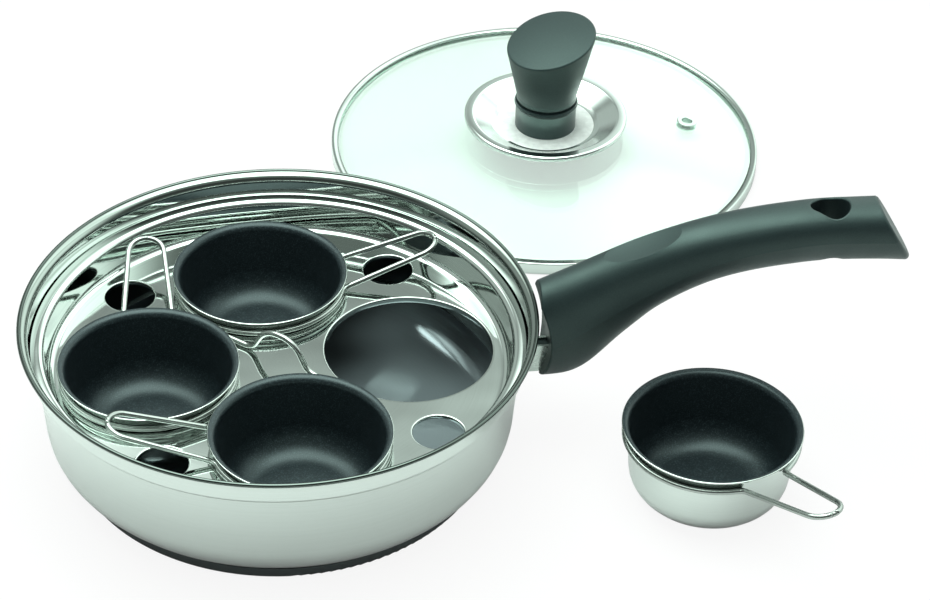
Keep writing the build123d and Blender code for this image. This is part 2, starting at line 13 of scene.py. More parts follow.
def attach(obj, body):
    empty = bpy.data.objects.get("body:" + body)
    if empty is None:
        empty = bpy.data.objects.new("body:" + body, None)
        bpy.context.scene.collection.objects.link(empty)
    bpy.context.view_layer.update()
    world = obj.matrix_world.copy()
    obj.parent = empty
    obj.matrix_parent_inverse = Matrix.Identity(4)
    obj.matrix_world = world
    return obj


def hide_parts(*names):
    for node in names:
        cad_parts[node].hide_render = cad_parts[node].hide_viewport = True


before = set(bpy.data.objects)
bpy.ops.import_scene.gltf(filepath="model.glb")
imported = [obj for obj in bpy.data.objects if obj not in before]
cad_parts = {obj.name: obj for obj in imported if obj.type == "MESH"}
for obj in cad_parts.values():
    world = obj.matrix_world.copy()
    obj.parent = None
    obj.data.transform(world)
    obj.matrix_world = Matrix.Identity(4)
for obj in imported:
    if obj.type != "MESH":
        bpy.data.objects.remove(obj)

LOG = logging.getLogger("egg_poacher")
MM = 0.001
ORIGIN = (0.0, 0.0, 0.0)
FAR_BELOW = (0.0, 0.0, -900.0)
WHITE = (1.0, 1.0, 1.0, 1.0)
# Millimetres between points that become one, and degrees at which an edge stays sharp.
MERGE = 0.002
SHARP = 38.0
# Degrees from one seat of the tray to the next.
QUARTER = 90.0
# Sockets of a node that mixes colours.
MIX_LOW, MIX_HIGH, MIX_RESULT = 6, 7, 2

Socket = bpy.types.NodeSocket
Colour = tuple[float, float, float]
Spot = tuple[float, float, float]
Span = tuple[float, float]
Profile = Sequence[Span]
Bends = Sequence[tuple[int, float]]


# Node trees and materials

class Nodes:
    """A node tree while it is put together."""

    def __init__(self, tree: bpy.types.NodeTree) -> None:
        """Take up a tree.

        Args:
            tree: The node tree to add to.
        """
        self.tree = tree

    def add(self, kind: str, **settings: object) -> bpy.types.Node:
        """Add a node and set its plain attributes.

        Args:
            kind: Node type without its prefix, such as TexNoise.
            settings: Attributes of the node.

        Returns:
            The new node.
        """
        node = self.tree.nodes.new(f"ShaderNode{kind}")
        for key, value in settings.items():
            setattr(node, key, value)
        return node

    def feed(self, node: bpy.types.Node, places: Mapping[int, object] | None = None,
             **values: object) -> bpy.types.Node:
        """Set or link a node's inputs by place, or by name with underscores for spaces.

        Args:
            node: The node to feed.
            places: An output socket to link, or a plain value to set, per place of an input.
            values: The same per name of an input.

        Returns:
            The same node.
        """
        named = {key.replace("_", " "): value for key, value in values.items()}
        for key, value in {**(places or {}), **named}.items():
            if isinstance(value, Socket):
                self.tree.links.new(value, node.inputs[key])
            else:
                node.inputs[key].default_value = value
        return node

    def calculate(self, operation: str, first: Socket, second: Socket | float) -> Socket:
        """Combine two values.

        Args:
            operation: How they are combined, such as MULTIPLY.
            first: First value.
            second: Second value.

        Returns:
            A value socket.
        """
        return self.feed(self.add("Math", operation=operation),
                         {0: first, 1: second}).outputs["Value"]

    def spread(self, value: Socket, low: float, high: float, start: float = 0.3,
               end: float = 0.7, soft: bool = False) -> Socket:
        """Map a value to a range.

        Args:
            value: The value.
            low: Result at the start.
            high: Result at the end.
            start: Value that gives low.
            end: Value that gives high.
            soft: Whether the result eases in and out.

        Returns:
            A value socket.
        """
        ranged = self.add("MapRange", interpolation_type="SMOOTHSTEP" if soft else "LINEAR")
        return self.feed(ranged, Value=value, From_Min=start, From_Max=end, To_Min=low,
                         To_Max=high).outputs["Result"]

    def ramp(self, value: Socket, stops: Profile, colour: Colour = WHITE[:3],
             soft: bool = False) -> Socket:
        """Give a colour whose strength changes with a value.

        Args:
            value: The value from zero to one.
            stops: Value and strength of each stop.
            colour: The colour at strength one.
            soft: Whether the strength eases in and out between stops.

        Returns:
            A colour socket.
        """
        node = self.feed(self.add("ValToRGB"), Fac=value)
        line = node.color_ramp
        if soft:
            line.interpolation = "EASE"
        line.elements[0].position = stops[0][0]
        line.elements[1].position = stops[-1][0]
        for place, _ in stops[1:-1]:
            line.elements.new(place)
        for element, (_, level) in zip(line.elements, stops):
            element.color = (*(level * part for part in colour), 1.0)
        return node.outputs["Color"]

    def shade(self, value: Socket, low: Colour | Socket, high: Colour | Socket) -> Socket:
        """Mix two colours by a value from zero to one.

        Args:
            value: The share of the second colour.
            low: First colour.
            high: Second colour.

        Returns:
            A colour socket.
        """
        first, second = (side if isinstance(side, Socket) else (*side, 1.0)
                         for side in (low, high))
        mix = self.add("Mix", data_type="RGBA")
        self.feed(mix, {MIX_LOW: first, MIX_HIGH: second}, Factor=value)
        return mix.outputs[MIX_RESULT]

    def blend(self, share: Socket, first: bpy.types.Node, second: bpy.types.Node) -> bpy.types.Node:
        """Mix two shaders.

        Args:
            share: The share of the second shader.
            first: Node of the first shader.
            second: Node of the second shader.

        Returns:
            The node of the mix.
        """
        return self.feed(self.add("MixShader"), {1: first.outputs[0], 2: second.outputs[0]},
                         Fac=share)

    def rays(self, **levels: float) -> Socket:
        """Give each named kind of ray its level, and zero to the rest.

        Args:
            levels: Level for each kind of ray, such as Camera.

        Returns:
            A value socket.
        """
        path = self.add("LightPath")
        scaled = [self.calculate("MULTIPLY", path.outputs[f"Is {kind} Ray"], level)
                  for kind, level in levels.items()]
        total = scaled[0]
        for value in scaled[1:]:
            total = self.calculate("MAXIMUM", total, value)
        return total


class Recipe(Nodes):
    """A material's node tree, with the patterns that the finishes share."""

    def __init__(self, name: str) -> None:
        """Start a material with its standard shader.

        Args:
            name: Name of the material.
        """
        self.material = bpy.data.materials.new(name)
        self.material.use_nodes = True
        super().__init__(self.material.node_tree)
        self.shader = self.tree.nodes["Principled BSDF"]

    def cover(self, shader: bpy.types.Node) -> None:
        """Give the material another shader than its standard one.

        Args:
            shader: The shader's node.
        """
        self.feed(self.tree.nodes["Material Output"], Surface=shader.outputs[0])

    def spot(self, centre: Spot) -> Socket:
        """Give the place on the piece in millimetres from a centre.

        Args:
            centre: Centre of the pattern in millimetres, in the frame.

        Returns:
            A vector socket.
        """
        place = self.add("Mapping", vector_type="TEXTURE")
        self.feed(place, Vector=self.add("TexCoord").outputs["Object"],
                  Location=tuple(value * MM for value in centre), Scale=(MM,) * 3)
        return place.outputs["Vector"]

    def split(self, spot: Socket) -> tuple[Socket, Socket, Socket]:
        """Split a place into its level part, its distance from the axis and its height.

        Args:
            spot: A place in millimetres from the axis.

        Returns:
            A vector socket and two value sockets.
        """
        parts = self.feed(self.add("SeparateXYZ"), Vector=spot).outputs
        level = self.feed(self.add("CombineXYZ"), X=parts["X"], Y=parts["Y"]).outputs["Vector"]
        radius = self.feed(self.add("VectorMath", operation="LENGTH"), Vector=level)
        return level, radius.outputs["Value"], parts["Z"]

    def turned(self, spot: Socket) -> Socket:
        """Change a place into radius and height, which is how a turned surface's lines run.

        Args:
            spot: A place in millimetres from the axis.

        Returns:
            A vector socket with the radius and the height.
        """
        _, radius, height = self.split(spot)
        return self.feed(self.add("CombineXYZ"), X=radius, Y=height).outputs["Vector"]

    def noise(self, spot: Socket, size: float, detail: float = 2.0,
              roughness: float = 0.5) -> Socket:
        """Give a soft random value.

        Args:
            spot: A place in millimetres.
            size: Size of the spots in millimetres.
            detail: How many finer layers are added.
            roughness: How strong the finer layers are.

        Returns:
            A value socket around a half.
        """
        scaled = self.feed(self.add("VectorMath", operation="DIVIDE"), {0: spot, 1: (size,) * 3})
        noise = self.feed(self.add("TexNoise"), Vector=scaled.outputs["Vector"], Scale=1.0,
                          Detail=detail, Roughness=roughness)
        return noise.outputs["Fac"]

    def streaks(self, spot: Socket, width: float, turns: float) -> Socket:
        """Give a soft random value in long streaks round the axis.

        Args:
            spot: A place in millimetres from the axis.
            width: Width of the streaks in millimetres.
            turns: How often the value changes along a streak, per radian.

        Returns:
            A value socket around a half.
        """
        level, radius, height = self.split(spot)
        way = self.feed(self.add("VectorMath", operation="NORMALIZE"), Vector=level)
        way = self.feed(self.add("VectorMath", operation="SCALE"), Vector=way.outputs["Vector"],
                        Scale=turns)
        way = self.feed(self.add("SeparateXYZ"), Vector=way.outputs["Vector"])
        out, rise = (self.feed(self.add("MapRange", clamp=False), Value=value, From_Max=width)
                     for value in (radius, height))
        place = self.feed(self.add("CombineXYZ"), X=way.outputs["X"], Y=way.outputs["Y"],
                          Z=out.outputs["Result"])
        noise = self.add("TexNoise", noise_dimensions="4D")
        self.feed(noise, Vector=place.outputs["Vector"], W=rise.outputs["Result"], Scale=1.0,
                  Detail=2.0, Roughness=0.6)
        return noise.outputs["Fac"]

    def relief(self, height: Socket, depth: float, under: Socket | None = None) -> Socket:
        """Turn a value into a raised and sunken surface.

        Args:
            height: The value.
            depth: Depth in millimetres between values zero and one.
            under: Another relief that this one is added to.

        Returns:
            A normal socket.
        """
        bump = self.feed(self.add("Bump"), Height=height, Distance=depth * MM, Strength=1.0)
        if under is not None:
            self.feed(bump, Normal=under)
        return bump.outputs["Normal"]


@dataclass(frozen=True)
class Finish:
    """A finish with the record's material slot that it belongs to."""

    name: str
    slot: str
    centre: Spot = ORIGIN

    def material(self) -> bpy.types.Material:
        """Make the material.

        Returns:
            The material.

        Raises:
            NotImplementedError: Always, since each kind of finish makes its own.
        """
        raise NotImplementedError


class Sheen(Enum):
    """How finely a steel surface is finished, as its roughness and how much that changes."""

    MIRROR = (0.055, 0.02)
    POLISHED = (0.11, 0.03)
    SATIN = (0.22, 0.012)


@dataclass(frozen=True)
class TurnedSteel(Finish):
    """Stainless steel with fine turning lines and long soft streaks round an axis."""

    tint: Colour = (0.60, 0.645, 0.62)
    dark_share: float = 0.94
    sheen: Sheen = Sheen.POLISHED
    line_pitch: float = 0.7
    line_depth: float = 0.0006
    streak_width: float = 3.0
    streak_turns: float = 1.4
    streak_depth: float = 0.006
    wave_size: float = 28.0
    wave_depth: float = 0.04
    grain: float = 0.0
    metal: float = 1.0

    def material(self) -> bpy.types.Material:
        """Make the steel.

        Returns:
            The material.
        """
        recipe = Recipe(self.name)
        spot = recipe.spot(self.centre)
        lines = recipe.noise(recipe.turned(spot), self.line_pitch, detail=3.0, roughness=0.7)
        streaks = recipe.streaks(spot, self.streak_width, self.streak_turns)
        relief = recipe.relief(recipe.noise(spot, self.wave_size, detail=1.0), self.wave_depth)
        relief = recipe.relief(streaks, self.streak_depth, relief)
        relief = recipe.relief(lines, self.line_depth, relief)
        roughness, uneven = self.sheen.value
        if self.grain:
            tangent = recipe.add("Tangent", direction_type="RADIAL", axis="Z")
            recipe.feed(recipe.shader, Anisotropic=self.grain, Anisotropic_Rotation=0.25,
                        Tangent=tangent.outputs["Tangent"])
        dark = tuple(value * self.dark_share for value in self.tint)
        recipe.feed(
            recipe.shader,
            Metallic=self.metal,
            Base_Color=recipe.shade(recipe.spread(lines, 0.0, 1.0), dark, self.tint),
            Roughness=recipe.spread(streaks, roughness - uneven, roughness + uneven),
            Normal=relief)
        return recipe.material


@dataclass(frozen=True)
class SpeckledCoating(Finish):
    """Dark non-stick coating with pale specks and a slight orange peel."""

    dark: Colour = (0.006, 0.0095, 0.0115)
    pale: Colour = (0.045, 0.065, 0.072)
    roughness: Span = (0.29, 0.42)
    speck: float = 0.55
    speck_depth: float = 0.014
    speck_start: float = 0.5
    speck_end: float = 0.75
    peel: float = 1.4
    peel_depth: float = 0.012

    def material(self) -> bpy.types.Material:
        """Make the coating.

        Returns:
            The material.
        """
        recipe = Recipe(self.name)
        spot = recipe.spot(self.centre)
        specks = recipe.noise(spot, self.speck, roughness=0.7)
        share = recipe.spread(specks, 0.0, 1.0, self.speck_start, self.speck_end)
        peel = recipe.relief(recipe.noise(spot, self.peel), self.peel_depth)
        recipe.feed(
            recipe.shader,
            Base_Color=recipe.shade(share, self.dark, self.pale),
            Roughness=recipe.spread(specks, *self.roughness),
            Normal=recipe.relief(specks, self.speck_depth, peel),
            Specular_IOR_Level=0.45,
            Specular_Tint=(0.80, 0.98, 1.0, 1.0))
        return recipe.material


@dataclass(frozen=True)
class GrainedPlastic(Finish):
    """Black moulded plastic with a fine matt grain."""

    dark: Colour = (0.006, 0.0105, 0.012)
    pale: Colour = (0.014, 0.0225, 0.025)
    roughness: Span = (0.43, 0.50)
    cloud: float = 14.0
    grain: float = 0.55
    grain_depth: float = 0.022

    def material(self) -> bpy.types.Material:
        """Make the plastic.

        Returns:
            The material.
        """
        recipe = Recipe(self.name)
        spot = recipe.spot(self.centre)
        grain = recipe.noise(spot, self.grain, detail=3.0, roughness=0.65)
        recipe.feed(
            recipe.shader,
            Base_Color=recipe.shade(recipe.spread(grain, 0.0, 1.0), self.dark, self.pale),
            Roughness=recipe.spread(recipe.noise(spot, self.cloud), *self.roughness),
            Normal=recipe.relief(grain, self.grain_depth),
            Specular_IOR_Level=0.56,
            Specular_Tint=(0.72, 1.0, 0.93, 1.0))
        return recipe.material


@dataclass(frozen=True)
class LidGlass(Finish):
    """Clear tempered glass with a faint green tint that lets lamps through."""

    tint: Colour = (0.82, 0.92, 0.87)
    shadow: Colour = (0.74, 0.90, 0.82)
    film: float = 40.0
    haze: float = 0.02

    def material(self) -> bpy.types.Material:
        """Make the glass.

        Returns:
            The material.
        """
        recipe = Recipe(self.name)
        film = recipe.noise(recipe.spot(self.centre), self.film)
        recipe.feed(recipe.shader, Base_Color=(*self.tint, 1.0), IOR=1.5, Transmission_Weight=1.0,
                    Roughness=recipe.spread(film, 0.0, self.haze))
        clear = recipe.feed(recipe.add("BsdfTransparent"), Color=(*self.shadow, 1.0))
        shadows = recipe.add("LightPath").outputs["Is Shadow Ray"]
        recipe.cover(recipe.blend(shadows, recipe.shader, clear))
        return recipe.material


@dataclass(frozen=True)
class PlainStock(Finish):
    """Metal, rubber or plastic as bought in, with a slight mottle."""

    colour: Colour = (0.5, 0.5, 0.5)
    dark_share: float = 0.82
    metallic: float = 1.0
    roughness: float = 0.3
    smoother: float = 0.05
    rougher: float = 0.07
    mottle: float = 3.0
    mottle_depth: float = 0.01

    def material(self) -> bpy.types.Material:
        """Make the stock material.

        Returns:
            The material.
        """
        recipe = Recipe(self.name)
        mottle = recipe.noise(recipe.spot(self.centre), self.mottle, detail=3.0)
        dark = tuple(value * self.dark_share for value in self.colour)
        recipe.feed(
            recipe.shader,
            Metallic=self.metallic,
            Base_Color=recipe.shade(recipe.spread(mottle, 0.0, 1.0), dark, self.colour),
            Roughness=recipe.spread(mottle, self.roughness - self.smoother,
                                    self.roughness + self.rougher),
            Normal=recipe.relief(mottle, self.mottle_depth))
        return recipe.material


# Shaping

def draw_chain(mesh: BMesh, points: Profile, bends: Bends, segments: int = 8) -> None:
    """Draw a chain of edges in the XZ plane and round its corners.

    Args:
        mesh: The mesh to draw in.
        points: Radius and height of each point in millimetres.
        bends: Index of a corner and its bend radius in millimetres, for each rounded corner.
        segments: Edges in each rounded corner.
    """
    chain = [mesh.verts.new((radius * MM, 0.0, height * MM)) for radius, height in points]
    for start, end in zip(chain, chain[1:]):
        mesh.edges.new((start, end))
    for corner, radius in bends:
        vert = chain[corner]
        ways = [edge.other_vert(vert).co - vert.co for edge in vert.link_edges]
        reach = radius * MM / math.tan(ways[0].angle(ways[1]) / 2)
        bmesh.ops.bevel(mesh, geom=[vert], offset=reach, offset_type="OFFSET", segments=segments,
                        profile=0.5, affect="VERTICES", material=-1)


def turn_chain(mesh: BMesh, steps: int) -> None:
    """Spin everything in a mesh round the Z axis into a closed shell.

    Args:
        mesh: The mesh with a chain in the XZ plane.
        steps: Steps in the full turn.
    """
    bmesh.ops.spin(mesh, geom=mesh.verts[:] + mesh.edges[:], cent=ORIGIN, axis=(0, 0, 1),
                   dvec=ORIGIN, angle=math.tau, steps=steps, use_merge=True,
                   use_normal_flip=False, use_duplicate=False)


def settle(mesh: BMesh, heart: Spot | None = None) -> None:
    """Merge doubles, turn the faces outwards and set smooth shading.

    Args:
        mesh: The mesh.
        heart: A point in millimetres that the outside faces away from, for an open shell.
    """
    bmesh.ops.remove_doubles(mesh, verts=mesh.verts[:], dist=MERGE * MM)
    bmesh.ops.recalc_face_normals(mesh, faces=mesh.faces[:])
    if heart is not None:
        middle = Vector(heart) * MM
        outward = sum(face.normal.dot(face.calc_center_median() - middle) * face.calc_area()
                      for face in mesh.faces)
        if outward < 0:
            bmesh.ops.reverse_faces(mesh, faces=mesh.faces[:])
    for face in mesh.faces:
        face.smooth = True
    for edge in mesh.edges:
        if edge.is_manifold and edge.calc_face_angle() > math.radians(SHARP):
            edge.smooth = False


def sink(mesh: BMesh, depth: float) -> None:
    """Move a shell's surface inwards along its normals.

    Args:
        mesh: The mesh, with its faces outwards.
        depth: Distance in millimetres.
    """
    mesh.normal_update()
    moves = [(vert, vert.normal * vert.calc_shell_factor() * depth * MM) for vert in mesh.verts]
    for vert, move in moves:
        vert.co -= move


def make_piece(name: str, mesh: BMesh, body: str, finish: Finish,
               stands_for: Sequence[str] = ()) -> bpy.types.Object:
    """Make a mesh into a piece of the model.

    Args:
        name: Name of the piece.
        mesh: Its mesh, which is freed.
        body: The body that it moves with.
        finish: Its finish.
        stands_for: CAD nodes that it replaces.

    Returns:
        The piece.
    """
    data = bpy.data.meshes.new(name)
    mesh.to_mesh(data)
    mesh.free()
    return place_piece(name, data, body, finish, stands_for)


def place_piece(name: str, data: bpy.types.ID, body: str, finish: Finish,
                stands_for: Sequence[str] = ()) -> bpy.types.Object:
    """Put mesh or curve data in the scene as a piece.

    Args:
        name: Name of the piece.
        data: Mesh or curve data.
        body: The body that it moves with.
        finish: Its finish.
        stands_for: CAD nodes that it replaces.

    Returns:
        The piece.
    """
    piece = bpy.data.objects.new(name, data)
    bpy.context.scene.collection.objects.link(piece)
    data.materials.append(finish.material())
    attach(piece, body)
    if stands_for:
        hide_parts(*stands_for)
    LOG.info("made %s on %s in %s", name, body, finish.name)
    return piece


def give_wall(piece: bpy.types.Object, thickness: float) -> bpy.types.SolidifyModifier:
    """Give an open shell its thickness, inwards from its faces.

    Args:
        piece: The piece.
        thickness: Wall in millimetres.

    Returns:
        The modifier that gives the thickness.
    """
    wall = piece.modifiers.new("wall", "SOLIDIFY")
    wall.thickness = thickness * MM
    wall.offset = -1.0
    wall.use_even_offset = True
    wall.use_quality_normals = True
    return wall


def dress(node: str, finish: Finish) -> None:
    """Give a carried-over CAD node a finish.

    Args:
        node: Name of the node.
        finish: Its finish.
    """
    material = finish.material()
    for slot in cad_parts[node].material_slots:
        slot.link = "OBJECT"
        slot.material = material
    LOG.info("dressed %s in %s", node, finish.name)


def wire_steel(name: str, centre: Spot) -> TurnedSteel:
    """Give the satin steel of a drawn wire.

    Args:
        name: Name of the material.
        centre: Centre of its pattern in millimetres.

    Returns:
        The finish.
    """
    return TurnedSteel(name, "wire", centre, sheen=Sheen.SATIN, tint=(0.37, 0.40, 0.38),
                       streak_depth=0.0)


def polar(distance: float, angle: float) -> Vector:
    """Give a point in the XY plane.

    Args:
        distance: Distance from the origin.
        angle: Angle from the X axis in degrees.

    Returns:
        The point.
    """
    return Vector((distance * math.cos(math.radians(angle)),
                   distance * math.sin(math.radians(angle)), 0.0))


@dataclass
class BentWire:
    """A round wire along straight runs and bends, given as points with a bend radius each."""

    size: float
    closed: bool
    knots: list[tuple[Vector, Vector, Vector]] = field(default_factory=list)

    def run(self, points: Sequence[Vector], bends: Sequence[float]) -> None:
        """Add runs with a bend at each inner point.

        Args:
            points: Corners in millimetres, with both ends.
            bends: Bend radius of each inner point.
        """
        self.knots.append((points[0], points[0], points[0]))
        for before, corner, after, radius in zip(points, points[1:], points[2:], bends):
            back, ahead = (before - corner).normalized(), (after - corner).normalized()
            inside = back.angle(ahead)
            reach = radius / math.tan(inside / 2)
            pull = radius * 4 / 3 * math.tan((math.pi - inside) / 4)
            start, end = corner + back * reach, corner + ahead * reach
            self.knots.append((start, start, start - back * pull))
            self.knots.append((end, end - ahead * pull, end))
        self.knots.append((points[-1], points[-1], points[-1]))

    def arc(self, centre: Vector, radius: float, start: float, end: float, pieces: int) -> None:
        """Add a level arc.

        Args:
            centre: Centre of the arc in millimetres.
            radius: Its radius.
            start: First angle in degrees.
            end: Last angle in degrees.
            pieces: Number of curve pieces.
        """
        step = math.radians(end - start) / pieces
        pull = radius * 4 / 3 * math.tan(step / 4)
        for number in range(pieces + 1):
            angle = math.radians(start) + step * number
            out = Vector((math.cos(angle), math.sin(angle), 0.0))
            along = Vector((-math.sin(angle), math.cos(angle), 0.0))
            point = centre + out * radius
            self.knots.append((point, point - along * pull, point + along * pull))

    def curve(self, name: str) -> bpy.types.Curve:
        """Make the wire's curve.

        Args:
            name: Name of the curve.

        Returns:
            The curve data.
        """
        data = bpy.data.curves.new(name, "CURVE")
        data.dimensions = "3D"
        data.bevel_depth = self.size / 2 * MM
        data.bevel_resolution = 6
        data.resolution_u = 10
        data.use_fill_caps = True
        spline = data.splines.new("BEZIER")
        spline.bezier_points.add(len(self.knots) - 1)
        spline.use_cyclic_u = self.closed
        for point, (place, before, after) in zip(spline.bezier_points, self.knots):
            point.handle_left_type = point.handle_right_type = "FREE"
            point.co, point.handle_left, point.handle_right = (
                place * MM, before * MM, after * MM)
        return data


# The pieces

@dataclass
class Pan:
    """The pressed steel pan with its rolled rim and sandwich base."""

    steps: int = 256
    height: float = 65.4
    bead: float = 0.9
    wall: float = 0.8
    floor_end: float = 17.0
    floor_slot: int = 2
    lip_start: float = 61.2
    lip_slot: int = 4
    outline: Profile = ((0.0, 4.6), (97.6, 4.6), (101.1, 52.6), (104.4, 52.6), (104.4, 61.7),
                        (107.1, 64.5))
    bends: Bends = ((1, 17.0), (2, 1.2), (3, 2.0), (4, 3.0))

    def bowl(self) -> None:
        """Turn the pressed bowl with its ledge and flared lip.

        The wall, the floor and the lip have a material slot each for their outside, and the
        slot after it for their inside.
        """
        mesh = bmesh.new()
        draw_chain(mesh, self.outline, self.bends)
        turn_chain(mesh, self.steps)
        settle(mesh, (0.0, 0.0, self.height))
        for face in mesh.faces:
            height = face.calc_center_median().z
            if height < self.floor_end * MM:
                face.material_index = self.floor_slot
            elif height > self.lip_start * MM:
                face.material_index = self.lip_slot
        outside = TurnedSteel("pan outside", "pan_steel", sheen=Sheen.SATIN, line_depth=0.0002,
                              streak_depth=0.0, wave_size=60.0)
        inside = TurnedSteel("pan inside", "pan_steel", sheen=Sheen.MIRROR, line_depth=0.0002,
                             streak_depth=0.005)
        floor = TurnedSteel("pan floor", "pan_steel", tint=(0.20, 0.24, 0.255), line_pitch=0.9,
                            line_depth=0.03, streak_depth=0.0, grain=0.8, metal=0.5)
        piece = make_piece("pan_bowl", mesh, "pan", outside, ["pan_body"])
        # The lip's darker tint is painted shade on the bowl's own steel.
        lip = self.painted_shade_lip_steel("lip steel painted shade", (0.32, 0.36, 0.335))
        for finish in (inside, outside, floor, outside, lip):
            piece.data.materials.append(finish.material())
        give_wall(piece, self.wall).material_offset = 1

    def painted_shade_lip_steel(self, name: str, tint: Colour) -> TurnedSteel:
        """Give the flared lip and its bead a darker colour than the bowl's steel: painted shade
        that stands in for their dark reflections and dims the lamp's reflection in them.

        Args:
            name: Name of the material.
            tint: Colour of the steel.

        Returns:
            The finish.
        """
        return TurnedSteel(name, "pan_steel", tint=tint, line_depth=0.0002, streak_depth=0.004)

    def rim(self) -> None:
        """Turn the rolled bead round the pan's lip."""
        mesh = bmesh.new()
        bead = bmesh.ops.create_circle(mesh, cap_ends=False, radius=self.bead * MM, segments=20)
        bmesh.ops.rotate(mesh, verts=bead["verts"], cent=ORIGIN,
                         matrix=Matrix.Rotation(math.radians(90), 3, "X"))
        bmesh.ops.translate(mesh, verts=bead["verts"],
                            vec=(self.outline[-1][0] * MM, 0.0, (self.height - self.bead) * MM))
        turn_chain(mesh, self.steps)
        settle(mesh)
        # The bead's near-black tint is painted shade on the bowl's own steel.
        make_piece("pan_rim", mesh, "pan", self.painted_shade_lip_steel("rim steel painted shade", (0.10, 0.12, 0.11)),
                   ["pan_body"])

    def build(self) -> None:
        """Build the bowl and its rim, and dress the base."""
        self.bowl()
        self.rim()
        dress("base_cap", TurnedSteel("base steel", "base_steel", tint=(0.105, 0.122, 0.122),
                                      sheen=Sheen.SATIN, streak_depth=0.0))
        dress("base_core", PlainStock("base core", "base_core", colour=(0.60, 0.62, 0.62),
                                      roughness=0.35))


@dataclass(frozen=True)
class Hole:
    """A round hole in the tray with its edge turned down."""

    centre: Vector
    radius: float
    flange: float
    segments: int


